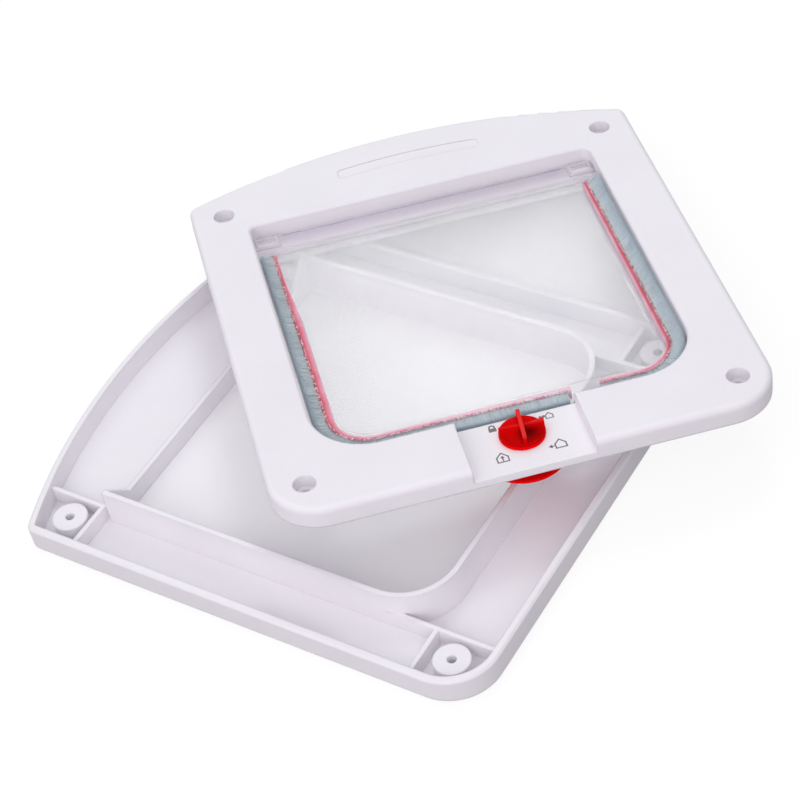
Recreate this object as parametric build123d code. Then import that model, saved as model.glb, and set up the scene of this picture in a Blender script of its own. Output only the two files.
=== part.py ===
"""Cat flap with a four-way lock: a ribbed outer half lying face down, and the inner half resting on it.

Row frame: origin at the centre of the outer half's four screw posts, level with their tops, +X across
the doorway, +Y towards the arched edge, +Z up. The outer half is modelled with its face at Z = 0. The
inner half is modelled flat (front face at Z = 0, +Z out of the face, hinge at +Y) and then laid in its
resting place. All lengths are millimetres.
"""
import os
from math import atan2, cos, degrees, radians, sin, sqrt

from build123d import *

# Frame outline shared by both halves, measured from the centre of the screw pattern
frame_width = 190.0
frame_bottom = 101.2
frame_shoulder = 96.2
arch_rise = 19.1
foot_radius = 20.0
shoulder_radius = 4.0
screw_span_x = 163.0
screw_span_y = 171.0
edge_fillet = 2.5

# Doorway of the inner half
door_width = 146.0
door_bottom = 72.8
door_top = 74.4
door_radius = 23.0
door_top_radius = 4.0
door_edge_bevel = 0.8

# Inner half moulding
front_depth = 8.5
front_face = 3.0
front_wall = 2.6
collar_depth = 22.0
collar_wall = 2.5
screw_bore = 4.6
screw_head_bore = 8.6
screw_head_depth = 5.0
screw_tube = 15.0
rib_thickness = 2.0
rib_setback = 0.6
panel_length = 61.0
panel_height = 6.0
panel_below_arch = 15.0
panel_depth = 0.25

# Outer half moulding
rim_height = 12.0
rim_wall = 3.0
rim_edge_bevel = 0.9
back_face = 2.8
tunnel_height = 18.5
tunnel_wall = 2.2
tunnel_clearance = 0.4
sill_height = 8.5
back_rib_height = 9.4
corner_rib_gap = 2.0
low_rib_gap = 1.1
boss_diameter = 14.0
boss_height = 9.5
pilot_bore = 3.5
pilot_depth = 7.5

# Flap, hung on two trunnions near the top of the doorway
hinge_drop = 5.9
hinge_depth = 8.0
flap_thickness = 2.4
flap_side_gap = 7.4
flap_sill_gap = 9.3
flap_radius = 15.0
flap_over_hinge = 4.0
flap_edge_bevel = 0.5
flap_border = 3.4
flap_border_step = 0.5
ear_height = 13.0
ear_clearance = 0.6
knuckle_length = 10.5
knuckle_height = 7.4
knuckle_front = 2.8
knuckle_bevel = 0.9
knuckle_wall = 1.7
knuckle_pocket = 1.1
trunnion_diameter = 3.8
trunnion_length = 4.4
trunnion_clearance = 0.06
trunnion_end_play = 0.4
hinge_boss_diameter = 9.0
hinge_boss_length = 3.6

# Pile seal on the flap's edge, in two lengths
backing_thickness = 1.2
backing_width = 4.6
pile_thickness = 3.6
pile_clearance = 0.5
seal_below_ear = 1.0
seal_gap_start = 22.0
seal_gap_end = 35.0
backing_lead = 2.0

# Lock: recessed plate, knob, cam with two flanges, and the catch on the flap
recess_width = 46.0
recess_depth = 5.3
dial_below_door = 9.7
dial_clearance = 0.1
knob_diameter = 17.4
knob_base = 1.4
knob_body_diameter = 17.0
knob_body_height = 4.1
knob_wall_height = 2.9
knob_horn_start = 2.5
knob_chord = 1.2
knob_turn = -5.0
knob_scoop_radius = 4.8
knob_scoop_shift = 3.75
knob_scoop_floor = 0.4
knob_lip = 0.8
knob_lip_height = 0.5
fin_thickness = 1.5
fin_height = 3.8
fin_reach = 8.2
fin_slope = 1.9
spindle_diameter = 8.0
spindle_clearance = 0.08
drive_width = 5.0
drive_clearance = 0.05
cam_radius = 16.3
cam_hub_diameter = 12.0
flange_thickness = 1.2
flange_gap = 0.4
flange_behind_pile = 0.3
front_flange_spread = 84.0
rear_flange_spread = 174.0
catch_thickness = 1.2
catch_width = 10.0
catch_overlap = 3.2
catch_arm = 2.2
catch_arm_setback = 0.4
window_clearance = 0.8
lock_screw_diameter = 2.9
lock_screw_bore = 3.0
lock_screw_length = 9.0
lock_screw_head = 6.4
lock_screw_head_height = 1.8
lock_screw_slot = 0.9

# How the inner half lies on the outer half
front_turn = -45.4
front_shift_y = -14.2
rest_x = 14.3
rest_gap = 0.05

hinge_height = door_top - hinge_drop
flap_half_width = door_width / 2 - flap_side_gap
flap_bottom = door_bottom - flap_sill_gap
dial_drop = door_bottom + dial_below_door
arch_radius = ((frame_width / 2) ** 2 + arch_rise**2) / (2 * arch_rise)
arch_centre = frame_shoulder + arch_rise - arch_radius
screw_places = [(sx * screw_span_x / 2, sy * screw_span_y / 2) for sx in (-1, 1) for sy in (-1, 1)]
dial_y = -dial_drop
plate_back = -front_depth
pile_back = -hinge_depth - pile_thickness / 2
front_flange_top = pile_back - flange_behind_pile
catch_top = front_flange_top - flange_thickness - flange_gap
rear_flange_top = catch_top - catch_thickness - flange_gap
cam_end = rear_flange_top - flange_thickness


def block(x0, x1, y0, y1, z0, z1):
    """Box between two opposite corners."""
    size = (abs(x1 - x0), abs(y1 - y0), abs(z1 - z0))
    return Pos((x0 + x1) / 2, (y0 + y1) / 2, (z0 + z1) / 2) * Box(*size)


def prism(face, z0, z1):
    """Flat face extruded between two heights."""
    return extrude(Pos(0, 0, z0) * face, z1 - z0, dir=(0, 0, 1))


def rod(diameter, x, y, z0, z1):
    """Upright cylinder between two heights."""
    return Pos(x, y, (z0 + z1) / 2) * Cylinder(diameter / 2, abs(z1 - z0))


def cross_rod(diameter, x0, x1, y, z):
    """Cylinder along X between two stations."""
    return Pos((x0 + x1) / 2, y, z) * Rot(0, 90, 0) * Cylinder(diameter / 2, abs(x1 - x0))


def frame_outline(inset=0.0):
    """Arched frame outline, pulled in by inset on every side."""
    half = frame_width / 2 - inset
    low = -frame_bottom + inset
    radius = arch_radius - inset
    shoulder = arch_centre + sqrt(radius**2 - half**2)
    sides = Polyline((-half, shoulder), (-half, low), (half, low), (half, shoulder))
    arch = ThreePointArc((half, shoulder), (0, arch_centre + radius), (-half, shoulder))
    face = make_face([sides, arch])
    face = fillet(face.vertices().group_by(Axis.Y)[0], foot_radius - inset)
    return fillet(face.vertices().group_by(Axis.Y)[-1], max(shoulder_radius - inset, rib_setback))


def doorway(inset=0.0, top_radius=0.0):
    """Doorway outline with rounded bottom corners, and square top corners unless a radius is given."""
    half = door_width / 2 - inset
    low = -door_bottom + inset
    high = door_top - inset
    face = Pos(0, (low + high) / 2) * Rectangle(2 * half, high - low)
    face = fillet(face.vertices().group_by(Axis.Y)[0], door_radius - inset)
    return fillet(face.vertices().group_by(Axis.Y)[-1], top_radius) if top_radius else face


def flap_outline(grow=0.0):
    """Flap panel below the hinge, grown by an even margin."""
    half = flap_half_width + grow
    low = -flap_bottom - grow
    high = hinge_height + flap_over_hinge
    face = Pos(0, (low + high) / 2) * Rectangle(2 * half, high - low)
    return fillet(face.vertices().group_by(Axis.Y)[0], flap_radius + grow)


def corner_ribs(side_line, low_line, high_line, cross_run, z0, z1):
    """Ribs that box in the four screw corners: long ones from a doorway wall to the rim, and cross ones.

    A low cross rib starts cross_run inside the long rib's middle.
    """
    reach_x = frame_width / 2 - rim_wall / 2
    low = -frame_bottom + rim_wall / 2
    high = arch_centre + sqrt((arch_radius - rim_wall / 2) ** 2 - side_line**2)
    start = door_radius + rib_thickness
    half = rib_thickness / 2
    ribs = []
    for side in (-1, 1):
        x = side * side_line
        ribs.append(block(x - half, x + half, low, -low_line + start, z0, z1))
        ribs.append(block(x - half, x + half, high_line - half, high, z0, z1))
        ribs.append(block(x - side * cross_run, side * reach_x, -low_line - half, -low_line + half, z0, z1))
        ribs.append(block(x, side * reach_x, high_line - half, high_line + half, z0, z1))
    return ribs


def make_back_frame():
    """Outer half: dished arched moulding with rim, tunnel walls, screw posts and corner ribs."""
    body = prism(frame_outline(), 0, rim_height)
    body = fillet(body.faces().sort_by(Axis.Z)[0].edges(), edge_fillet)
    body = chamfer(body.faces().sort_by(Axis.Z)[-1].edges(), rim_edge_bevel)
    body -= prism(frame_outline(rim_wall), back_face, rim_height)
    inner = tunnel_clearance + tunnel_wall
    tunnel = prism(doorway(tunnel_clearance), 0, tunnel_height)
    inner_half = door_width / 2 - inner
    sill_back = door_top - inner
    drop = tunnel_height - sill_height
    notch = Polyline(
        (-inner_half, tunnel_height),
        (-inner_half + drop, sill_height),
        (inner_half - drop, sill_height),
        (inner_half, tunnel_height),
        close=True,
    )
    notch = extrude(Plane.XZ * make_face(notch), door_top, dir=(0, 1, 0))
    tunnel -= Pos(0, sill_back - tunnel_wall, 0) * notch
    side_line = door_width / 2 - tunnel_clearance - rib_thickness / 2
    low_line = door_bottom + low_rib_gap
    high_line = door_top + corner_rib_gap
    ribs = corner_ribs(side_line, low_line, high_line, rib_thickness / 2, 0, back_rib_height)
    posts = [rod(boss_diameter, x, y, 0, boss_height) for x, y in screw_places]
    body = body + tunnel + ribs + posts
    body -= prism(doorway(inner), 0, tunnel_height)
    return body - [rod(pilot_bore, x, y, boss_height - pilot_depth, boss_height) for x, y in screw_places]


def name_panel():
    """Shallow plain panel under the arch, curved with it."""
    high = arch_radius - panel_below_arch
    low = high - panel_height
    ring = Circle(high) - Circle(low)
    span = Pos(0, arch_centre + high) * Rectangle(panel_length, 4 * panel_height)
    band = (Pos(0, arch_centre) * ring) & span
    return prism(fillet(band.vertices(), panel_height / 3), -panel_depth, front_face)


def make_front_frame():
    """Inner half: smooth arched face, open ribbed back, doorway collar, lock recess and hinge bearings."""
    body = prism(frame_outline(), plate_back, 0)
    body = fillet(body.faces().sort_by(Axis.Z)[-1].edges(), edge_fillet)
    opening = doorway(top_radius=door_top_radius)
    body -= prism(opening, plate_back, 0)
    front = body.faces().sort_by(Axis.Z)[-1]
    body = chamfer(front.inner_wires()[0].edges(), door_edge_bevel)

    lock_half = recess_width / 2 + front_wall
    lock_land = Rectangle(2 * lock_half, frame_bottom - door_bottom)
    lock_land = Pos(0, -(frame_bottom + door_bottom) / 2) * lock_land
    tubes = [Pos(x, y) * Circle(screw_tube / 2) for x, y in screw_places]
    hollow = frame_outline(front_wall) - doorway(-collar_wall) - lock_land - tubes
    body -= prism(hollow, plate_back, -front_face)
    body += prism(doorway(-collar_wall) - opening, -collar_depth, -front_face)
    side_line = (door_width + collar_wall) / 2
    low_line = door_bottom + collar_wall / 2
    high_line = door_top + collar_wall / 2
    cross_run = door_radius + rib_thickness
    ribs = corner_ribs(side_line, low_line, high_line, cross_run, plate_back + rib_setback, -front_face)
    body += [rib - prism(opening, plate_back, 0) for rib in ribs]

    for side in (-1, 1):
        wall = side * door_width / 2
        end = wall + side * (collar_wall + hinge_boss_length)
        bore_end = wall + side * (trunnion_length + trunnion_end_play - ear_clearance)
        start = wall + side * collar_wall / 2
        bore = trunnion_diameter + 2 * trunnion_clearance
        body += cross_rod(hinge_boss_diameter, start, end, hinge_height, -hinge_depth)
        body -= cross_rod(bore, wall, bore_end, hinge_height, -hinge_depth)

    recess_half = recess_width / 2
    recess_low = -frame_bottom - edge_fillet
    body -= block(-recess_half, recess_half, recess_low, -door_bottom, -recess_depth, edge_fillet)
    body -= rod(spindle_diameter + 2 * spindle_clearance, 0, dial_y, plate_back, -recess_depth)
    window_half = cam_radius + window_clearance
    window_top = front_flange_top + window_clearance / 2
    window_end = cam_end - lock_screw_head_height
    collar_out = -door_bottom - collar_wall
    body -= block(-window_half, window_half, collar_out, -door_bottom, window_end, window_top)
    body -= name_panel()
    for x, y in screw_places:
        body -= rod(screw_bore, x, y, plate_back, 0)
        body -= rod(screw_head_bore, x, y, -screw_head_depth, 0)
    return body


def knuckle(x0, x1):
    """Hinge block with bevelled edges and a shallow pocket in its front."""
    low = hinge_height - knuckle_height / 2
    high = hinge_height + knuckle_height / 2
    front = -hinge_depth + knuckle_front
    body = block(x0, x1, low, high, -hinge_depth, front)
    body = chamfer(body.faces().sort_by(Axis.Z)[-1].edges(), knuckle_bevel)
    near = min(x0, x1) + knuckle_wall
    far = max(x0, x1) - knuckle_wall
    return body - block(near, far, low + knuckle_wall, high - knuckle_wall, front - knuckle_pocket, front)


def make_flap():
    """Clear panel with a raised border, hinge ears with knuckles and trunnions, and the lock catch behind."""
    top = -hinge_depth + flap_thickness / 2
    under = -hinge_depth - flap_thickness / 2
    panel = prism(flap_outline(), under, top)
    panel = chamfer(panel.faces().sort_by(Axis.Z)[-1].edges(), flap_edge_bevel)
    ear_edge = door_width / 2 - ear_clearance
    head = hinge_height + flap_over_hinge
    pane_high = head - ear_height
    pane = flap_outline(-flap_border) & Pos(0, pane_high - frame_bottom) * Rectangle(frame_width, 2 * frame_bottom)
    panel -= prism(pane, top - flap_border_step, top)
    for side in (-1, 1):
        edge = side * ear_edge
        root = side * (flap_half_width - ear_height)
        start = side * (ear_edge - knuckle_length)
        tip = side * (ear_edge + trunnion_length)
        panel += block(root, edge, head - ear_height, head, under, top)
        panel += cross_rod(trunnion_diameter, start, tip, hinge_height, -hinge_depth)
        panel += knuckle(start, edge)
    arm_low = -flap_bottom + catch_arm_setback
    arm_high = arm_low + catch_arm
    half = catch_width / 2
    catch_back = catch_top - catch_thickness
    panel += block(-half, half, arm_low, arm_high, catch_back, under)
    finger_low = dial_y + cam_radius - catch_overlap
    return panel + block(-half, half, finger_low, arm_high, catch_back, catch_top)


def seal_lengths(ring, z0, z1, lead=0.0):
    """The edge ring cut into its two lengths, below the ears and either side of the gap."""
    solid = prism(ring, z0, z1)
    high = hinge_height + flap_over_hinge - ear_height - seal_below_ear
    left = block(-frame_width, seal_gap_start + lead, -frame_bottom, high, z0, z1)
    right = block(seal_gap_end, frame_width, -frame_bottom, high, z0, z1)
    return solid & left, solid & right


def make_backings():
    """Red carrier strip glued round the flap's edge."""
    ring = flap_outline(backing_thickness) - flap_outline()
    half = backing_width / 2
    return seal_lengths(ring, -hinge_depth - half, -hinge_depth + half, backing_lead)


def make_piles():
    """Brush pile from the carrier strip out to the doorway wall."""
    ring = doorway(pile_clearance) - flap_outline(backing_thickness)
    return seal_lengths(ring, pile_back, pile_back + pile_thickness)


def make_knob():
    """Lock knob: base disc, lipped scoop with a straight back wall and a horn, finger fin and spindle."""
    base_low = -recess_depth + dial_clearance
    base_top = base_low + knob_base
    knob = rod(knob_diameter, 0, 0, base_low, base_top)
    edge = knob_body_diameter / 2
    wall_top = base_top + knob_body_height
    body = rod(knob_body_diameter, 0, 0, base_top, wall_top)
    body -= block(-knob_diameter, knob_diameter, knob_chord, knob_diameter, base_top, wall_top)
    above = Polyline(
        (-knob_diameter, knob_wall_height),
        (knob_horn_start, knob_wall_height),
        (edge, knob_body_height),
        (edge, 2 * knob_body_height),
        (-knob_diameter, 2 * knob_body_height),
        close=True,
    )
    body -= Pos(0, 0, base_top) * extrude(Plane.XZ * make_face(above), knob_diameter, both=True)
    floor = base_top + knob_scoop_floor
    lip_top = floor + knob_lip_height
    reach = knob_diameter
    scoop = cross_rod(2 * knob_scoop_radius, -reach, reach, -knob_scoop_shift, floor + knob_scoop_radius)
    scoop += block(-reach, reach, -reach, -knob_scoop_shift, floor, wall_top)
    body -= scoop & rod(knob_body_diameter - 2 * knob_lip, 0, 0, floor, wall_top)
    body -= scoop & block(-reach, reach, -reach, reach, lip_top, wall_top)
    fin = Polyline(
        (-edge, 0),
        (-edge, fin_thickness / 5),
        (fin_slope - edge, fin_height),
        (fin_reach, fin_height),
        (fin_reach, 0),
        close=True,
    )
    fin = extrude(Plane.YZ * make_face(fin), fin_thickness / 2, both=True)
    knob += Rot(0, 0, knob_turn) * (body + Pos(0, 0, base_top) * fin)
    knob += rod(spindle_diameter, 0, 0, plate_back - dial_clearance, base_low)
    half = drive_width / 2
    knob += block(-half, half, -half, half, cam_end, plate_back)
    return knob - rod(lock_screw_bore, 0, 0, cam_end, cam_end + lock_screw_length)


def sector(middle, spread):
    """Flat sector of the cam's outline, spread degrees wide about the angle middle."""
    reach = 2 * cam_radius
    low = radians(middle - spread / 2)
    high = radians(middle + spread / 2)
    mid = radians(middle)
    wedge = Polyline(
        (0, 0),
        (reach * cos(low), reach * sin(low)),
        (reach * cos(mid), reach * sin(mid)),
        (reach * cos(high), reach * sin(high)),
        close=True,
    )
    return Circle(cam_radius) & make_face(wedge)


def make_cam():
    """Cam on the back of the lock plate, clear of the catch at rest.

    The rear flange stops the flap swinging outwards and the front flange stops it swinging inwards.
    A quarter turn raises both, a half turn only the rear one, a quarter turn back only the front one.
    """
    cam = rod(cam_hub_diameter, 0, 0, cam_end, plate_back - dial_clearance)
    front_low = front_flange_top - flange_thickness
    for middle in (0, 180):
        cam += prism(sector(middle, front_flange_spread), front_low, front_flange_top)
    cam += prism(sector(-45, rear_flange_spread), cam_end, rear_flange_top)
    hole = drive_width / 2 + drive_clearance
    return cam - block(-hole, hole, -hole, hole, cam_end, plate_back)


def make_lock_screw():
    """Pan-head screw that draws the cam onto the knob's drive."""
    low = cam_end - lock_screw_head_height
    head = rod(lock_screw_head, 0, 0, low, cam_end)
    head = chamfer(head.faces().sort_by(Axis.Z)[0].edges(), lock_screw_head_height / 3)
    screw = head + rod(lock_screw_diameter, 0, 0, cam_end, cam_end + lock_screw_length - lock_screw_slot)
    arm = lock_screw_head / 3
    half = lock_screw_slot / 2
    deep = low + lock_screw_head_height / 2
    return screw - block(-arm, arm, -half, half, low, deep) - block(-half, half, -arm, arm, low, deep)


def resting_place():
    """Pose of the inner half, its collar lying on the far rim edge and the bottom tunnel wall."""
    turn = radians(front_turn)
    tilt = atan2(tunnel_height - rim_height, frame_width / 2 - rest_x)
    wall_y = -door_bottom + tunnel_clearance
    u = (wall_y - front_shift_y + cos(turn) * door_bottom) / sin(turn)
    along = cos(turn) * u + sin(turn) * door_bottom
    lift = tunnel_height + rest_gap
    x = rest_x - cos(tilt) * along + sin(tilt) * collar_depth
    z = lift + sin(tilt) * along + cos(tilt) * collar_depth
    return Pos(x, front_shift_y, z) * Rot(0, degrees(tilt), 0) * Rot(0, 0, front_turn)


def build():
    """Every piece by node name, in the row frame."""
    datum = Pos(0, 0, -boss_height)
    front = datum * resting_place()
    dial = front * Pos(0, dial_y, 0)
    backing_left, backing_right = make_backings()
    pile_left, pile_right = make_piles()
    return {
        "back_frame": datum * make_back_frame(),
        "front_frame": front * make_front_frame(),
        "flap": front * make_flap(),
        "seal_backing_left": front * backing_left,
        "seal_backing_right": front * backing_right,
        "pile_seal_left": front * pile_left,
        "pile_seal_right": front * pile_right,
        "lock_knob": dial * make_knob(),
        "lock_cam": dial * make_cam(),
        "lock_screw": dial * make_lock_screw(),
    }


os.makedirs("parts", exist_ok=True)
for node, solid in build().items():
    export_step(solid, f"parts/{node}.step")
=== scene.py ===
"""Finished look of the cat flap: materials for every node, tape, pile, stitches and ink."""
from math import cos, pi, radians, sin

import bpy
import numpy as np
from mathutils import Matrix, Vector


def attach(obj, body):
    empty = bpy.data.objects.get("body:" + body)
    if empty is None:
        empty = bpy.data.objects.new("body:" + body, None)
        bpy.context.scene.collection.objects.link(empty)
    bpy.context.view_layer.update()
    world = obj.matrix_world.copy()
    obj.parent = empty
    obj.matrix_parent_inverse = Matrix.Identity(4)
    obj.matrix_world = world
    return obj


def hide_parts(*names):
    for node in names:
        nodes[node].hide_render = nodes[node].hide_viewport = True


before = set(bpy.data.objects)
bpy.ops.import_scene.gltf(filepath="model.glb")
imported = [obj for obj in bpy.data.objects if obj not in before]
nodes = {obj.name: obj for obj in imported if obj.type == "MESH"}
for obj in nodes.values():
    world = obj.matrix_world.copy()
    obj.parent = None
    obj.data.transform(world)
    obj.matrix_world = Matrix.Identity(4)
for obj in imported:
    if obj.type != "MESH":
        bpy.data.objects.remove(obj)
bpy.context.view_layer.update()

scene = bpy.context.scene
MM = 0.001
PLAIN = (1, 1, 1, 1)
NOISE_MIDDLE = 0.5
LEFT, RIGHT = -1, 1

# Pose of the inner half in the shared frame, in millimetres, and its own three axes there
CENTRE = (60.77195, -14.2, 27.37815)
TILT = radians(4.60496)
TURN = radians(-45.4)
NORMAL = (sin(TILT), 0.0, cos(TILT))
UPWARD = (-sin(TURN) * cos(TILT), cos(TURN), sin(TURN) * sin(TILT))
SIDEWAYS = (cos(TURN) * cos(TILT), sin(TURN), -cos(TURN) * sin(TILT))

# Flap edge and doorway wall, in the inner half's own millimetres
EDGE_HALF = 66.8
EDGE_LOW = -64.7
EDGE_RADIUS = 16.2
WALL_HALF = 72.35
WALL_LOW = -72.15
WALL_RADIUS = 22.35

# Clear flap: where its border and head (tinted with painted lavender shade), its painted haze
# veil and the painted dark line of its top edge begin and end, in the same millimetres
BORDER = (62.4, 63.4)
HAZE = (0.0, 60.0)
HEAD = (58.0, 64.0)
HEAD_TINT = (60.0, 66.0)
TOP_EDGE = (71.3, 72.1)
TOP_EDGE_ENDS = (60.0, 62.0)

# Lock plate and knob: heights, and where painted shade darkens the hollow beside the knob's fin
PLATE = -5.3
KNOB_CREST = 0.2
PAINTED_SHADE_AT = (2.4, -84.2, -3.6)
PAINTED_SHADE_REACH = (1.2, 6.0)
PAINTED_SHADE_TOP = (-2.6, -0.6)

# Two lengths of seal: top ends, the gap between them in the sill, and the pile's depth
STRIP_TOP = 58.5
GAP_START = 22.0
GAP_END = 35.0
END_MARGIN = 0.15
PILE_MID = -8.0
PILE_HALF = 1.72
PILE_BACK = -9.85
REACH_MOST = 16.0
REACH_HALVINGS = 40

# Fibres: each is a three-sided needle of two rings and a tip
FIBRE_SEED = {LEFT: 11, RIGHT: 12}
FIBRE_STEP = 0.27
FIBRE_ROWS = 16
FIBRE_SIDES = 3
FIBRE_RADIUS = (0.09, 0.13)
FIBRE_RINGS = ((0.0, 0.0, 1.0), (0.6, 0.4, 0.95))
FIBRE_ALONG = (0.1, 0.1, 0.1, 0.6, 0.6, 0.6, 1.0)
FIBRE_CLEAR = 0.04
FIBRE_SHIFT = 0.12
ROW_SHIFT = 0.1
RAGGED = {LEFT: 0.28, RIGHT: 0.12}
RAGGED_MOST = 0.9
CLUMP_PACE, CLUMP_LEAN = 0.9, 0.1
LEAN_SPREAD, SPLAY_SPREAD = 0.22, 0.16
FLARE, FLARE_FRONT = 0.12, 0.35
FAN = {LEFT: (1.25, 1.35), RIGHT: (2.45, 2.45)}
TUFT_SHARE = 0.12
TUFT_TONES = (2.2, 2.6)

# Core under the fibres: its section is share of its length and height from the pile's middle
CORE_STEP = 1.0
CORE_LENGTH = {LEFT: 0.62, RIGHT: 0.8}
CORE_RISE = {LEFT: 0.75, RIGHT: 2.4}
CORE_SECTION = ((0.02, -1.5), (0.02, 1.5), (1.0, 1.4), (1.0, -1.4))
CORE_ALONG = (0.1, 0.1, 0.4, 0.4)
CORE_TONE = 0.3

# Tape: its section is offset outwards, share of the roll, height, lift by the ribs, wear
TAPE_STEP = 0.25
TAPE_LONGER = {LEFT: 2.0, RIGHT: 0.0}
TAPE_SECTION = np.array(
    [
        (0.0, 0.0, -10.3, 0, 0.1),
        (0.0, 0.0, -6.3, 0, 0.1),
        (-0.2, 0.0, -5.82, 1, 0.15),
        (-0.65, 0.0, -5.74, 1, 0.3),
        (-1.2, 0.0, -5.84, 1, 0.45),
        (-1.2, 0.6, -6.0, 1, 0.72),
        (-1.2, 1.0, -6.2, 1, 0.95),
        (-1.26, 1.0, -6.5, 0, 1.0),
        (-1.1, 1.0, -6.72, 0, 1.0),
        (-1.22, 0.0, -6.72, 0, 0.9),
        (-1.2, 0.0, -10.3, 0, 0.9),
    ]
)
RIB_LIFT, RIB_PITCH = 0.05, 0.75
STRAIGHT = 0.99
ROLL_TOP, ROLL_GROWTH, ROLL_GROWS = 0.5, 1.5, (14.0, 44.0)
ROLL_SILL, ROLL_CORNER = 1.2, 0.8
ROLL_RIGHT, ROLL_RIGHT_SILL = 0.12, 1.0
# Tape paler along the sill: painted light that lifts the sunk sill's shade
TAPE_SILL_LIGHT = 0.42
WEAR_UNEVEN = 0.5
WEAR_GROWTH, WEAR_GROWS = 0.35, (62.0, 22.0)
WEAR_END, WEAR_END_GROWS = 0.5, (3.5, 1.5)

# Binding stitches: half sizes along, out and up, and how they are laid and scattered
STITCH_SEED = {LEFT: 21, RIGHT: 22}
STITCH_STEP = 0.62
STITCH_HALF = (0.4, 0.3, 0.22)
STITCH_HEIGHT = -5.72
STITCH_BANDS, STITCH_SIDES = 4, 6
STITCH_GROW = (0.65, 1.1)
STITCH_INSET = 0.1
STITCH_SIDE_INSET = {LEFT: 0.45, RIGHT: -0.2}
COURSES = 2
COURSE_OUT, COURSE_ALONG = 0.55, 0.31
SCATTER_OUT, SCATTER_ALONG = 0.1, 0.14
# Stitches on the sill made paler: painted light that lifts the sill's shade
STITCH_SILL_LIGHT = 0.3
YARN_BLUSH = 0.3
STITCH_TONES = (0.6, 0.6)

# Printed marks: lower and upper height of the ink, and line widths
INK_HEIGHTS = (PLATE + 0.005, PLATE + 0.045)
BOLD, STEM, FINE = 0.52, 0.5, 0.42

# Floor: height and half size in metres; its sheltered zones in millimetres
FLOOR = -9.5 * MM
FLOOR_HALF = 6.0
DOORWAY_X, DOORWAY_Y, DOORWAY_SOFT = 72.2, 73.5, 0.6
BENEATH_U, BENEATH_V, BENEATH_SOFT = 88.0, 74.0, 12.0
BENEATH_MIDDLE = 22.0
FLOOR_GLOW = 0.87

# Dome light, and lamps by name, place, aim, size, power and colour, in metres
DOME_TOWARDS = (-0.4, 0.2, 0.89)
DOME_STRENGTH = 0.85
DOME_COLOUR = (0.985, 0.955, 0.995, 1)
LAMPS = (
    ("key", (0.68, 0.06, 1.18), (0.06, 0.0, 0.0), 0.4, 2.2, (0.94, 1.05, 1.02)),
    ("back", (0.846, 0.538, 0.755), (0.06, 0.0, 0.0), 0.7, 1.1, (0.94, 1.05, 1.02)),
    ("side", (-1.05, 0.35, 1.35), (0.05, 0.0, 0.0), 1.5, 2.5, (0.97, 1.03, 1.0)),
    ("fill", (-1.15, -0.7, 0.75), (0.05, 0.0, 0.0), 1.4, 7.5, (1.0, 0.97, 1.0)),
)

# Camera fitted to the photograph, in metres, with its lens in millimetres
CAMERA_AT = (-0.44997976, -0.39840079, 0.60551037)
CAMERA_TURN = (
    (0.505052, 0.668683, -0.545697),
    (-0.84799, 0.266701, -0.458022),
    (-0.160734, 0.69407, 0.701734),
)
SENSOR = 36.0
LENS = 99.19625
CLIP = (0.01, 50.0)


def place(points):
    """Inner-half millimetres to shared-frame metres."""
    p = np.asarray(points, dtype=float).reshape(-1, 3)
    x = cos(TURN) * p[:, 0] - sin(TURN) * p[:, 1]
    y = sin(TURN) * p[:, 0] + cos(TURN) * p[:, 1]
    w = p[:, 2]
    out = np.stack(
        [
            CENTRE[0] + cos(TILT) * x + sin(TILT) * w,
            CENTRE[1] + y,
            CENTRE[2] - sin(TILT) * x + cos(TILT) * w,
        ],
        axis=1,
    )
    return out * MM


def srgb(r, g, b):
    """Screen colour 0 to 255 as a linear colour."""
    out = []
    for c in (r, g, b):
        c /= 255.0
        out.append(c / 12.92 if c <= 0.04045 else ((c + 0.055) / 1.055) ** 2.4)
    return (*out, 1.0)


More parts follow.
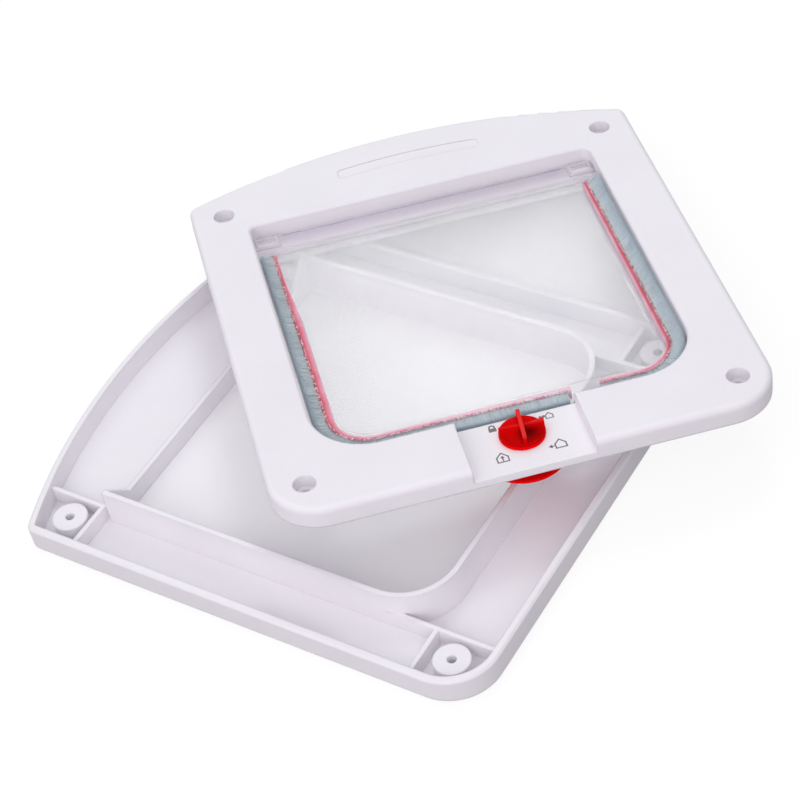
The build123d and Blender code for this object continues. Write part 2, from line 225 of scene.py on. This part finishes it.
class Graph:
    """Short hand for building one node tree."""

    def __init__(self, tree):
        self.tree = tree
        tree.nodes.clear()

    def feed(self, socket, value):
        """Links another node's output to a socket, or sets a constant on it."""
        if isinstance(value, bpy.types.NodeSocket):
            self.tree.links.new(value, socket)
        else:
            socket.default_value = value

    def fill(self, node, **sockets):
        """Feeds sockets by name, with an underscore for each space."""
        for name, value in sockets.items():
            self.feed(node.inputs[name.replace("_", " ")], value)

    def add(self, kind, **sockets):
        node = self.tree.nodes.new(kind)
        self.fill(node, **sockets)
        return node

    def noise(self, vector, scale, detail, rough=0.5):
        node = self.add(
            "ShaderNodeTexNoise", Vector=vector, Scale=scale, Detail=detail, Roughness=rough
        )
        return node.outputs["Fac"]

    def attribute(self, name):
        """Value that the mesh keeps at its points."""
        node = self.add("ShaderNodeAttribute")
        node.attribute_name = name
        return node.outputs["Fac"]

    def ramp(self, value, stops):
        """Colour ramp through stops of position and colour."""
        node = self.add("ShaderNodeValToRGB", Fac=value)
        band = node.color_ramp
        while len(band.elements) < len(stops):
            band.elements.new(0.5)
        for element, (at, colour) in zip(band.elements, stops):
            element.position = at
            element.color = colour
        return node.outputs["Color"]

    def mix(self, share, a, b, how="MIX"):
        """Mix of two colours; the node's colour sockets are 6, 7 and, coming out, 2."""
        node = self.add("ShaderNodeMix")
        node.data_type = "RGBA"
        node.blend_type = how
        for index, value in ((0, share), (6, a), (7, b)):
            self.feed(node.inputs[index], value)
        return node.outputs[2]

    def multiply(self, a, b):
        """One colour times another."""
        return self.mix(1.0, a, b, "MULTIPLY")

    def maths(self, kind, a, b=0.0):
        node = self.add("ShaderNodeMath")
        node.operation = kind
        for socket, value in zip(node.inputs, (a, b)):
            self.feed(socket, value)
        return node.outputs[0]

    def vector(self, kind, a, b):
        node = self.add("ShaderNodeVectorMath")
        node.operation = kind
        for socket, value in zip(node.inputs, (a, b)):
            self.feed(socket, value)
        return node.outputs["Vector" if kind == "SUBTRACT" else "Value"]

    def spread(self, value, low, high, start=0.0, end=1.0):
        """Runs evenly from low to high as the value goes from start to end."""
        node = self.add(
            "ShaderNodeMapRange",
            Value=value, From_Min=start, From_Max=end, To_Min=low, To_Max=high,
        )
        return node.outputs["Result"]

    def bump(self, height, strength, depth, **normal):
        """Fine relief, on top of another normal where one is given."""
        node = self.add(
            "ShaderNodeBump", Height=height, Strength=strength, Distance=depth, **normal
        )
        return node.outputs["Normal"]

    def soft_edge(self, radius, samples):
        """Normal that rounds off sharp edges."""
        node = self.add("ShaderNodeBevel", Radius=radius)
        node.samples = samples
        return node.outputs["Normal"]

    def diffuse(self, colour):
        return self.add("ShaderNodeBsdfDiffuse", Color=colour).outputs[0]

    def choose(self, share, a, b):
        """One shader where the share is 0 and the other where it is 1."""
        node = self.add("ShaderNodeMixShader", Fac=share)
        self.feed(node.inputs[1], a)
        self.feed(node.inputs[2], b)
        return node.outputs[0]

    def seen(self):
        """One for rays that show a surface: straight, mirrored or through glass."""
        path = self.add("ShaderNodeLightPath").outputs
        shown = self.maths("MAXIMUM", path["Is Camera Ray"], path["Is Glossy Ray"])
        return self.maths("MAXIMUM", shown, path["Is Transmission Ray"])


def blank_material(name):
    """New material with an empty graph, and its object coordinates."""
    mat = bpy.data.materials.new(name)
    mat.use_nodes = True
    g = Graph(mat.node_tree)
    return mat, g, g.add("ShaderNodeTexCoord").outputs["Object"]


def material(name):
    """New material with one main shader."""
    mat, g, here = blank_material(name)
    shader = g.add("ShaderNodeBsdfPrincipled")
    g.add("ShaderNodeOutputMaterial", Surface=shader.outputs["BSDF"])
    return mat, g, shader, here


def measure(g, here, axis):
    """Distance from the inner half's centre along one of its axes."""
    middle = float(np.dot(axis, CENTRE)) * MM
    return g.maths("SUBTRACT", g.vector("DOT_PRODUCT", here, axis), middle)


def climb(g, value, start, end, low=0.0, high=1.0):
    """Even climb between two places given in millimetres."""
    return g.spread(value, low, high, start * MM, end * MM)


def zone(g, value, limit, soft):
    """One within a limit and nothing beyond it, with a soft edge, in millimetres."""
    away = g.maths("ABSOLUTE", value)
    return climb(g, away, limit - soft, limit + soft, low=1.0, high=0.0)


def white_plastic():
    """Moulded white ABS: faint flow mottling, fine spark texture, softened edges."""
    mat, g, shader, here = material("white_abs")
    cloud = g.noise(here, scale=34.0, detail=2.0)
    grain = g.noise(here, scale=900.0, detail=4.0, rough=0.6)
    tone = g.ramp(cloud, [(0.3, (0.852, 0.828, 0.870, 1)), (0.7, (0.874, 0.852, 0.892, 1))])
    fleck = g.ramp(grain, [(0.35, (0.985, 0.985, 0.985, 1)), (0.65, PLAIN)])
    edge = g.soft_edge(radius=1.0 * MM, samples=8)
    g.fill(
        shader,
        Base_Color=g.multiply(tone, fleck),
        Roughness=g.spread(grain, low=0.48, high=0.58),
        Normal=g.bump(grain, strength=0.12, depth=0.04 * MM, Normal=edge),
        IOR=1.46,
        Specular_IOR_Level=0.3,
    )
    return mat


def clear_plastic():
    """Clear acrylic of the flap: a painted haze veil that grows towards its head and hides the
    shade behind it, painted lavender shade at its border and head, a painted dark line along its
    top edge.
    """
    mat, g, shader, here = material("clear_acrylic")
    level = measure(g, here, UPWARD)
    aside = g.maths("ABSOLUTE", measure(g, here, SIDEWAYS))
    cloud = g.noise(here, scale=55.0, detail=3.0)
    pane = g.ramp(cloud, [(0.3, (0.945, 0.935, 0.96, 1)), (0.7, (0.975, 0.97, 0.985, 1))])
    # Painted shade: lavender tint along the border and over the head
    pane = g.mix(climb(g, aside, *BORDER), pane, (0.86, 0.80, 0.905, 1))
    pane = g.mix(climb(g, level, *HEAD_TINT), pane, (0.905, 0.85, 0.915, 1))
    # Painted shade: dark purple line along the top edge
    within_ends = climb(g, aside, *TOP_EDGE_ENDS, low=1.0, high=0.0)
    top = g.maths("MULTIPLY", climb(g, level, *TOP_EDGE), within_ends)
    # Painted veil: the pane grows more opaque and whiter towards its head, hiding the shade
    # behind it
    painted_veil = climb(g, level, *HAZE, low=0.18, high=0.42)
    border = climb(g, aside, *BORDER, high=0.34)
    head = climb(g, level, *HEAD, high=0.56)
    scuff = g.noise(here, scale=40.0, detail=2.0)
    g.fill(
        shader,
        Base_Color=g.mix(top, pane, (0.58, 0.53, 0.71, 1)),
        Alpha=g.maths("MAXIMUM", g.maths("MAXIMUM", painted_veil, border), head),
        Roughness=g.spread(scuff, low=0.11, high=0.15),
        Transmission_Weight=climb(g, level, *HEAD, low=0.7, high=0.38),
        IOR=1.49,
        Specular_IOR_Level=1.0,
    )
    return mat


def red_plastic():
    """Satin red moulding of the knob and cam: painted highlight on the crest, painted shade in
    the scoop and in the hollow beside the fin, painted light lifting the shaded base rim.
    """
    mat, g, shader, here = material("red_abs")
    level = measure(g, here, NORMAL)
    # Painted light by height: base rim brightened against its shade, scoop floor darkened as
    # painted shade, crest paler as a painted highlight
    tone = g.ramp(
        climb(g, level, PLATE, KNOB_CREST),
        [
            (0.0, srgb(246, 8, 10)),
            (0.27, srgb(232, 5, 8)),
            (0.33, srgb(196, 1, 3)),
            (0.72, srgb(212, 3, 6)),
            (0.94, srgb(238, 54, 50)),
        ],
    )
    # Painted shade: deep red in the hollow beside the fin, deepest next to the horn and fading
    # upwards
    away = g.vector("DISTANCE", here, place([PAINTED_SHADE_AT])[0])
    near = climb(g, away, *PAINTED_SHADE_REACH, low=0.9, high=0.0)
    near = g.maths("MULTIPLY", near, climb(g, level, *PAINTED_SHADE_TOP, low=1.0, high=0.0))
    tone = g.mix(near, tone, srgb(96, 0, 1))
    cloud = g.noise(here, scale=160.0, detail=2.0)
    shade = g.ramp(cloud, [(0.3, (0.93, 0.93, 0.93, 1)), (0.7, PLAIN)])
    grain = g.noise(here, scale=1500.0, detail=3.0)
    edge = g.soft_edge(radius=0.35 * MM, samples=6)
    g.fill(
        shader,
        Base_Color=g.multiply(tone, shade),
        Roughness=g.spread(grain, low=0.24, high=0.34),
        Normal=g.bump(grain, strength=0.1, depth=0.03 * MM, Normal=edge),
        IOR=1.46,
        Specular_IOR_Level=0.01,
    )
    return mat


def woven_backing():
    """Red woven tape that carries the pile: red at the stitches, pink at its rolled edge, paler
    along the sill as painted light.
    """
    mat, g, shader, here = material("woven_red_tape")
    thread = g.noise(here, scale=2300.0, detail=2.0)
    cloud = g.noise(here, scale=140.0, detail=2.0)
    uneven = g.maths("SUBTRACT", cloud, NOISE_MIDDLE)
    uneven = g.maths("MULTIPLY", uneven, WEAR_UNEVEN)
    body = g.ramp(
        g.maths("ADD", g.attribute("across"), uneven),
        [
            (0.0, srgb(200, 62, 78)),
            (0.4, srgb(226, 102, 122)),
            (0.75, srgb(246, 160, 182)),
            (1.0, srgb(252, 216, 232)),
        ],
    )
    fleck = g.ramp(thread, [(0.35, (0.84, 0.82, 0.83, 1)), (0.65, PLAIN)])
    g.fill(
        shader,
        Base_Color=g.multiply(body, fleck),
        Normal=g.bump(thread, strength=0.5, depth=0.12 * MM),
        Roughness=0.72,
        Sheen_Weight=0.25,
    )
    return mat


def pile_fibre():
    """Pale blue-grey nylon pile: near-white roots, bluer tips darkened as painted shade of the
    pile's outer edge, some darker fibres and flecks.
    """
    mat, g, shader, here = material("pile_nylon")
    # Along each fibre: roots near white, tips bluer and darker, the darkening being painted
    # shade
    body = g.ramp(
        g.attribute("along"),
        [
            (0.0, srgb(240, 252, 255)),
            (0.45, srgb(234, 249, 255)),
            (0.75, srgb(214, 238, 255)),
            (1.0, srgb(198, 228, 248)),
        ],
    )
    fleck = g.ramp(
        g.attribute("tuft"),
        [(0.0, (0.5, 0.53, 0.55, 1)), (0.2, (0.95, 0.965, 0.98, 1)), (0.6, PLAIN)],
    )
    cloud = g.noise(here, scale=1900.0, detail=2.0)
    shade = g.ramp(cloud, [(0.34, (0.66, 0.70, 0.74, 1)), (0.44, PLAIN)])
    g.fill(
        shader,
        Base_Color=g.multiply(g.multiply(body, fleck), shade),
        Roughness=0.62,
        Sheen_Weight=1.0,
        Sheen_Tint=(0.85, 0.94, 1.0, 1.0),
        Subsurface_Weight=0.8,
        Subsurface_Radius=(1.0, 1.0, 1.0),
        Subsurface_Scale=0.2 * MM,
    )
    return mat


def selvedge_yarn():
    """Binding stitches along the tape: each its own tone from dusky to near-white pink."""
    mat, g, shader, here = material("selvedge_yarn")
    cloud = g.noise(here, scale=800.0, detail=2.0)
    tone = g.ramp(
        g.attribute("tuft"),
        [
            (0.0, srgb(128, 104, 112)),
            (0.35, srgb(200, 142, 154)),
            (0.7, srgb(232, 196, 206)),
            (1.0, srgb(252, 248, 250)),
        ],
    )
    g.fill(
        shader,
        Base_Color=g.mix(g.maths("MULTIPLY", cloud, YARN_BLUSH), tone, srgb(206, 84, 100)),
        Normal=g.bump(cloud, strength=0.4, depth=0.1 * MM),
        Roughness=0.75,
    )
    return mat


def zinc_steel():
    """Bright zinc-plated screw."""
    mat, g, shader, here = material("zinc_plate")
    grain = g.noise(here, scale=1200.0, detail=3.0)
    g.fill(
        shader,
        Base_Color=g.ramp(grain, [(0.3, (0.52, 0.54, 0.57, 1)), (0.7, (0.66, 0.67, 0.69, 1))]),
        Normal=g.bump(grain, strength=0.2, depth=0.03 * MM),
        Metallic=1.0,
        Roughness=0.32,
    )
    return mat


def printed_ink():
    """Grey pad-printed marks, a little uneven."""
    mat, g, shader, here = material("printed_ink")
    grain = g.noise(here, scale=2600.0, detail=3.0)
    g.fill(
        shader,
        Base_Color=g.ramp(grain, [(0.3, srgb(98, 92, 100)), (0.75, srgb(136, 128, 136))]),
        Normal=g.bump(grain, strength=0.2, depth=0.02 * MM),
        Roughness=0.55,
    )
    return mat


WHITE = white_plastic()
CLEAR = clear_plastic()
RED = red_plastic()
TAPE = woven_backing()
PILE = pile_fibre()
YARN = selvedge_yarn()
ZINC = zinc_steel()
INK = printed_ink()

finish_of = {
    "back_frame": WHITE,
    "front_frame": WHITE,
    "flap": CLEAR,
    "lock_knob": RED,
    "lock_cam": RED,
    "lock_screw": ZINC,
}
for node_name, mat in finish_of.items():
    for holder in nodes[node_name].material_slots:
        holder.material = mat


def add_object(name, data):
    """New object in the scene."""
    obj = bpy.data.objects.new(name, data)
    scene.collection.objects.link(obj)
    return obj


def mesh_piece(name, points, faces, mat, body, smooth=True):
    """New mesh object from shared-frame metres, riding on a body."""
    mesh = bpy.data.meshes.new(name)
    mesh.from_pydata([tuple(p) for p in points], [], faces)
    mesh.validate()
    mesh.update()
    if smooth:
        mesh.polygons.foreach_set("use_smooth", [True] * len(mesh.polygons))
    mesh.materials.append(mat)
    obj = add_object(name, mesh)
    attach(obj, body)
    return obj


def point_values(mesh, name, values):
    """Keeps one value at each point for the material to read."""
    layer = mesh.attributes.new(name, "FLOAT", "POINT")
    layer.data.foreach_set("value", np.asarray(values, dtype=np.float32))


def skin(count, width, start=0):
    """Faces of a closed tube through sections of equal width, numbered from start."""
    faces = []
    for a in range(start, start + (count - 1) * width, width):
        b = a + width
        for k in range(width):
            m = (k + 1) % width
            faces.append((a + k, a + m, b + m, b + k))
    last = start + (count - 1) * width
    faces.append(tuple(start + k for k in reversed(range(width))))
    faces.append(tuple(last + k for k in range(width)))
    return faces


def ease(value, start, end):
    """Even run from 0 at start to 1 at end."""
    return np.clip((value - start) / (end - start), 0, 1)


def edge_path(side, step, longer=0.0):
    """Places and outward directions along one length of tape, from its top end to the gap."""
    turn_u = EDGE_HALF - EDGE_RADIUS
    turn_v = EDGE_LOW + EDGE_RADIUS
    upright = STRIP_TOP - turn_v
    arc = EDGE_RADIUS * pi / 2
    sill = turn_u + GAP_START + longer if side == LEFT else turn_u - GAP_END
    total = upright + arc + sill
    s = np.linspace(END_MARGIN, total - END_MARGIN, int(total / step))
    a = np.clip((s - upright) / EDGE_RADIUS, 0, pi / 2)
    u = turn_u + EDGE_RADIUS * np.cos(a)
    v = turn_v - EDGE_RADIUS * np.sin(a)
    v = np.where(s < upright, STRIP_TOP - s, v)
    u = np.where(s > upright + arc, turn_u - (s - upright - arc), u)
    n = np.stack([side * np.cos(a), -np.sin(a)], axis=1)
    return np.stack([side * u, v], axis=1), n


def wall_distance(p):
    """Signed distance of doorway points from the rounded doorway wall, negative inside."""
    low = WALL_LOW + WALL_RADIUS
    q_u = np.maximum(np.abs(p[:, 0]) - (WALL_HALF - WALL_RADIUS), 0)
    q_v = np.maximum(low - p[:, 1], 0)
    corner = np.hypot(q_u, q_v) - WALL_RADIUS
    side = np.abs(p[:, 0]) - WALL_HALF
    return np.where(p[:, 1] > low, side, corner)


def reach(base, n):
    """Length from the tape to the doorway wall along each direction."""
    short = np.zeros(len(base))
    far = np.full(len(base), REACH_MOST)
    for _ in range(REACH_HALVINGS):
        mid = (short + far) / 2
        inside = wall_distance(base + n * mid[:, None]) < 0
        short = np.where(inside, mid, short)
        far = np.where(inside, far, mid)
    return short


def pile_fibres(side):
    """Fibres of one length: points, faces, and each point's place along its fibre and tone."""
    rng = np.random.default_rng(FIBRE_SEED[side])
    base, n = edge_path(side, FIBRE_STEP)
    tufts = len(base)
    base = np.repeat(base, FIBRE_ROWS, axis=0)
    n = np.repeat(n, FIBRE_ROWS, axis=0)
    count = len(base)
    tangent = np.stack([-n[:, 1], n[:, 0]], axis=1)
    rows = np.tile(np.linspace(-PILE_HALF, PILE_HALF, FIBRE_ROWS), tufts)
    base = base + tangent * rng.uniform(-FIBRE_SHIFT, FIBRE_SHIFT, (count, 1))
    w = PILE_MID + rows + rng.uniform(-ROW_SHIFT, ROW_SHIFT, count)
    ragged = np.abs(rng.normal(0, RAGGED[side], count)).clip(0, RAGGED_MOST)
    length = reach(base, n) - FIBRE_CLEAR - ragged
    clump = np.sin(np.arange(count) / FIBRE_ROWS * CLUMP_PACE) * CLUMP_LEAN
    lean = tangent * (rng.normal(0, LEAN_SPREAD, (count, 1)) + clump[:, None])
    front = (w - PILE_MID) / PILE_HALF
    fan, fan_front = FAN[side]
    flare = FLARE + FLARE_FRONT * front + n[:, 0] ** 2 * (fan + fan_front * front)
    splay = np.maximum(rng.normal(0, SPLAY_SPREAD, count) + flare, PILE_BACK - w)
    radius = rng.uniform(*FIBRE_RADIUS, count)
    spin = rng.uniform(0, 2 * pi, count)

    points = np.zeros((count, len(FIBRE_ALONG), 3))
    for ring, (share, bend, scale) in enumerate(FIBRE_RINGS):
        middle = base + n * (length * share)[:, None] + lean * bend
        depth = w + splay * bend
        off = radius * scale
        for k in range(FIBRE_SIDES):
            a = spin + k * 2 * pi / FIBRE_SIDES
            at = ring * FIBRE_SIDES + k
            points[:, at, 0:2] = middle + tangent * (off * np.cos(a))[:, None]
            points[:, at, 2] = depth + off * np.sin(a)
    tip = base + n * length[:, None] + lean
    over = np.maximum(wall_distance(tip), 0)
    points[:, -1, 0:2] = tip - n * over[:, None]
    points[:, -1, 2] = w + splay

    faces = []
    for low in range(0, count * len(FIBRE_ALONG), len(FIBRE_ALONG)):
        high = low + FIBRE_SIDES
        for k in range(FIBRE_SIDES):
            m = (k + 1) % FIBRE_SIDES
            faces.append((low + k, low + m, high + m, high + k))
            faces.append((high + k, high + m, high + FIBRE_SIDES))

    # One tuft tone more than is used is drawn
    tuft_tone = rng.beta(*TUFT_TONES, tufts + 1)[:tufts]
    tone = TUFT_SHARE * np.repeat(tuft_tone, FIBRE_ROWS) + (1 - TUFT_SHARE) * rng.random(count)
    along = np.tile(FIBRE_ALONG, count)
    return points.reshape(-1, 3), faces, along, np.repeat(tone, len(FIBRE_ALONG))


def pile_core(side):
    """Points of the dense core under the fibres."""
    base, n = edge_path(side, CORE_STEP)
    points = []
    for p, d, far in zip(base, n, reach(base, n) * CORE_LENGTH[side]):
        for share, height in CORE_SECTION:
            q = p + d * far * share
            rise = share * CORE_RISE[side] * d[0] ** 2 if height > 0 else 0.0
            points.append((q[0], q[1], PILE_MID + height + rise))
    return np.array(points)


def make_pile(side, name, node):
    """One length of pile: thousands of fine fibres over a dense core."""
    fibres, faces, along, tones = pile_fibres(side)
    core = pile_core(side)
    sections = len(core) // len(CORE_SECTION)
    faces += skin(sections, len(CORE_SECTION), len(fibres))
    points = np.concatenate([fibres, core])
    obj = mesh_piece(name, place(points), faces, PILE, "flap")
    point_values(obj.data, "along", np.concatenate([along, np.tile(CORE_ALONG, sections)]))
    point_values(obj.data, "tuft", np.concatenate([tones, np.full(len(core), CORE_TONE)]))
    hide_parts(node)


def stitch_shape():
    """Points and faces of one stitch: a small rounded grain, long side along the tape."""
    points = []
    for band in range(STITCH_BANDS + 1):
        phi = pi * band / STITCH_BANDS
        for k in range(1 if band in (0, STITCH_BANDS) else STITCH_SIDES):
            a = 2 * pi * k / STITCH_SIDES
            points.append((cos(phi), sin(phi) * cos(a), sin(phi) * sin(a)))
    last = len(points) - 1
    faces = []
    for k in range(STITCH_SIDES):
        m = (k + 1) % STITCH_SIDES
        faces.append((0, 1 + k, 1 + m))
        for a in range(1, last - STITCH_SIDES, STITCH_SIDES):
            b = a + STITCH_SIDES
            faces.append((a + k, b + k, b + m, a + m))
        faces.append((last, last - STITCH_SIDES + m, last - STITCH_SIDES + k))
    return np.array(points) * STITCH_HALF, faces


def make_selvedge(side, name):
    """Two courses of uneven binding stitches where the pile leaves the tape, paler on the sill
    as painted light.
    """
    rng = np.random.default_rng(STITCH_SEED[side])
    shape, shape_faces = stitch_shape()
    points = []
    faces = []
    tones = []
    for p, d in zip(*edge_path(side, STITCH_STEP)):
        t = np.array([-d[1], d[0]])
        inset = STITCH_INSET + STITCH_SIDE_INSET[side] * d[0] ** 2
        for course in range(COURSES):
            grow = rng.uniform(*STITCH_GROW)
            out = COURSE_OUT * course - inset + rng.uniform(-SCATTER_OUT, SCATTER_OUT)
            on = COURSE_ALONG * course + rng.uniform(-SCATTER_ALONG, SCATTER_ALONG)
            start = len(points)
            q = p + d * out + t * on
            for forward, outward, up in shape * grow:
                flat = q + t * forward + d * outward
                points.append((flat[0], flat[1], STITCH_HEIGHT + up))
            faces += [tuple(start + i for i in face) for face in shape_faces]
            # Painted light: stitches on the sill get a paler tone against their shade
            tone = rng.beta(*STITCH_TONES) + STITCH_SILL_LIGHT * (1 - d[0] ** 2)
            tones += [min(1.0, tone)] * len(shape)
    obj = mesh_piece(name, place(points), faces, YARN, "flap")
    point_values(obj.data, "tuft", tones)


def make_tape(side, name, node):
    """One length of woven tape: web on the flap's edge, front edge rolled in over the border."""
    base, n = edge_path(side, TAPE_STEP, TAPE_LONGER[side])
    count = len(base)
    s = np.arange(count) * TAPE_STEP
    to_end = s[-1] - s
    upright = n[:, 0] ** 2
    # Paler along the sill: painted light lifting its shade; towards the left length's end, wear
    sill_light_and_wear = TAPE_SILL_LIGHT * (1 - upright)
    if side == LEFT:
        on_side = ROLL_TOP + ROLL_GROWTH * ease(s, *ROLL_GROWS)
        on_sill = ROLL_SILL + ROLL_CORNER * upright
        roll = np.where(upright > STRAIGHT, on_side, on_sill)
        sill_light_and_wear = sill_light_and_wear + WEAR_GROWTH * ease(to_end, *WEAR_GROWS)
        sill_light_and_wear = sill_light_and_wear + WEAR_END * ease(to_end, *WEAR_END_GROWS)
    else:
        roll = ROLL_RIGHT_SILL * (1 - upright) + ROLL_RIGHT
    rib = RIB_LIFT * np.sin(s * 2 * pi / RIB_PITCH)
    out, roll_share, height, lifted, worn = TAPE_SECTION.T
    offset = out - np.outer(roll, roll_share)
    flat = base[:, None, :] + n[:, None, :] * offset[:, :, None]
    depth = height + np.outer(rib, lifted)
    points = np.concatenate([flat, depth[:, :, None]], axis=2)
    faces = skin(count, len(TAPE_SECTION))
    obj = mesh_piece(name, place(points), faces, TAPE, "flap")
    point_values(obj.data, "across", (worn + sill_light_and_wear[:, None]).reshape(-1))
    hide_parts(node)


make_tape(LEFT, "woven_tape_left", "seal_backing_left")
make_tape(RIGHT, "woven_tape_right", "seal_backing_right")
make_pile(LEFT, "pile_fibres_left", "pile_seal_left")
make_pile(RIGHT, "pile_fibres_right", "pile_seal_right")
make_selvedge(LEFT, "selvedge_left")
make_selvedge(RIGHT, "selvedge_right")


def stroke(begin, end, width):
    """Outline of one straight line with square ends."""
    begin, end = Vector(begin), Vector(end)
    e = (end - begin).normalized() * width / 2
    s = Vector((-e.y, e.x))
    return [begin - e - s, end + e - s, end + e + s, begin - e + s]


def arc_line(x, y, radius, start, end, count=10):
    """Points along an arc, with its angles in degrees."""
    angles = np.radians(np.linspace(start, end, count + 1))
    return [(x + radius * cos(a), y + radius * sin(a)) for a in angles]


def house(half, wall, roof, eave=0.3):
    """Closed line round a small house."""
    gable = [(half, eave), (0.0, roof), (-half, eave)]
    return [(-half, -wall), (half, -wall), *gable, (-half, -wall)]


def ink_mark(name, at, strokes, fills):
    """Printed pictogram: lines and filled shapes round one place, a hair above the plate."""
    points = []
    faces = []
    lines = [
        stroke(begin, end, width)
        for line, width in strokes
        for begin, end in zip(line, line[1:])
    ]
    for outline in lines + fills:
        low = len(points)
        count = len(outline)
        high = low + count
        for height in INK_HEIGHTS:
            points.extend((at[0] + x, at[1] + y, height) for x, y in outline)
        faces.append(tuple(high + i for i in range(count)))
        faces.append(tuple(low + i for i in reversed(range(count))))
        for i in range(count):
            j = (i + 1) % count
            faces.append((low + i, low + j, high + j, high + i))
    obj = mesh_piece(name, place(points), faces, INK, "frames", smooth=False)


ink_mark(
    "mark_locked",
    (-9.65, -75.9),
    [([(-0.95, 0.35), *arc_line(0.0, 0.9, 0.95, 180, 0), (0.95, 0.35)], BOLD)],
    [[(-1.45, -1.5), (1.45, -1.5), (1.45, 0.35), (-1.45, 0.35)]],
)
ink_mark(
    "mark_both_ways",
    (12.0, -76.0),
    [(house(1.35, 1.35, 1.6), FINE), ([(-3.3, 0.2), (-1.9, 0.2)], FINE)],
    [
        [(-4.1, 0.2), (-3.1, -0.65), (-3.1, 1.05)],
        [(-1.3, 0.2), (-2.3, 1.05), (-2.3, -0.65)],
    ],
)
ink_mark(
    "mark_in_only",
    (-10.1, -92.0),
    [(house(2.1, 2.2, 2.6), BOLD), ([(0.0, -1.5), (0.0, 0.2)], STEM)],
    [[(-0.85, -0.1), (0.85, -0.1), (0.0, 1.15)]],
)
ink_mark(
    "mark_out_only",
    (11.7, -92.0),
    [(house(2.0, 2.0, 2.4), BOLD), ([(-2.6, -0.5), (-3.5, -0.5)], STEM)],
    [[(-3.2, 0.5), (-4.6, -0.5), (-3.2, -1.5)]],
)


def make_floor():
    """Pale floor: bright where it lies open, shaded paper inside and beneath the object."""
    mat, g, here = blank_material("floor_paper")
    paper = g.ramp(
        g.noise(here, scale=3.0, detail=2.0),
        [(0.3, (0.925, 0.92, 0.925, 1)), (0.7, (0.935, 0.93, 0.935, 1))],
    )
    shaded = g.ramp(
        g.noise(here, scale=30.0, detail=2.0),
        [(0.3, (0.925, 0.915, 0.935, 1)), (0.7, (0.94, 0.93, 0.95, 1))],
    )
    split = g.add("ShaderNodeSeparateXYZ", Vector=here).outputs
    door_x = zone(g, split["X"], DOORWAY_X, DOORWAY_SOFT)
    door_y = zone(g, split["Y"], DOORWAY_Y, DOORWAY_SOFT)
    within = g.maths("MULTIPLY", door_x, door_y)
    about = g.vector("SUBTRACT", here, (CENTRE[0] * MM, CENTRE[1] * MM, 0.0))
    u = g.vector("DOT_PRODUCT", about, (cos(TURN), sin(TURN), 0.0))
    v = g.vector("DOT_PRODUCT", about, (-sin(TURN), cos(TURN), 0.0))
    v = g.maths("SUBTRACT", v, BENEATH_MIDDLE * MM)
    half_u = zone(g, u, BENEATH_U, BENEATH_SOFT)
    half_v = zone(g, v, BENEATH_V, BENEATH_SOFT)
    sheltered = g.maths("MAXIMUM", within, g.maths("MULTIPLY", half_u, half_v))
    lit = g.diffuse(g.mix(within, (0.36, 0.345, 0.36, 1), paper))
    pale = g.add("ShaderNodeAddShader")
    g.feed(pale.inputs[0], g.diffuse((0.15, 0.149, 0.15, 1)))
    g.feed(pale.inputs[1], g.add("ShaderNodeEmission", Strength=FLOOR_GLOW).outputs[0])
    shown = g.choose(sheltered, pale.outputs[0], g.diffuse(shaded))
    g.add("ShaderNodeOutputMaterial", Surface=g.choose(g.seen(), lit, shown))
    corners = [
        (x * FLOOR_HALF, y * FLOOR_HALF, FLOOR)
        for x, y in ((-1, -1), (1, -1), (1, 1), (-1, 1))
    ]
    mesh = bpy.data.meshes.new("floor")
    mesh.from_pydata(corners, [], [(0, 1, 2, 3)])
    mesh.materials.append(mat)
    obj = add_object("floor", mesh)


def make_world():
    """Soft dome light, stronger from one side, and white where it is seen."""
    world = bpy.data.worlds.new("studio")
    world.use_nodes = True
    scene.world = world
    g = Graph(world.node_tree)
    sky = g.add("ShaderNodeTexCoord").outputs["Generated"]
    facing = g.vector("DOT_PRODUCT", sky, DOME_TOWARDS)
    level = g.spread(facing, low=0.0, high=DOME_STRENGTH, start=-1.0, end=1.0)
    dome = g.add("ShaderNodeBackground", Color=DOME_COLOUR, Strength=level).outputs[0]
    white = g.add("ShaderNodeBackground", Color=PLAIN, Strength=1.0).outputs[0]
    g.add("ShaderNodeOutputWorld", Surface=g.choose(g.seen(), dome, white))


def soft_lamp(name, place_at, look_at, size, power, colour):
    """Round area lamp aimed at a point."""
    lamp = bpy.data.lights.new(name, "AREA")
    lamp.shape = "DISK"
    lamp.size = size
    lamp.energy = power
    lamp.color = colour
    obj = add_object(name, lamp)
    obj.location = place_at
    aim = Vector(look_at) - Vector(place_at)
    obj.rotation_euler = aim.to_track_quat("-Z", "Y").to_euler()


def make_camera():
    """Camera at the photograph's viewing angle."""
    lens = bpy.data.cameras.new("camera")
    lens.sensor_width = SENSOR
    lens.lens = LENS
    lens.clip_start, lens.clip_end = CLIP
    obj = add_object("camera", lens)
    obj.matrix_world = Matrix.Translation(CAMERA_AT) @ Matrix(CAMERA_TURN).to_4x4()
    scene.camera = obj


make_floor()
make_world()
for lamp_values in LAMPS:
    soft_lamp(*lamp_values)
make_camera()
scene.view_settings.view_transform = "Standard"
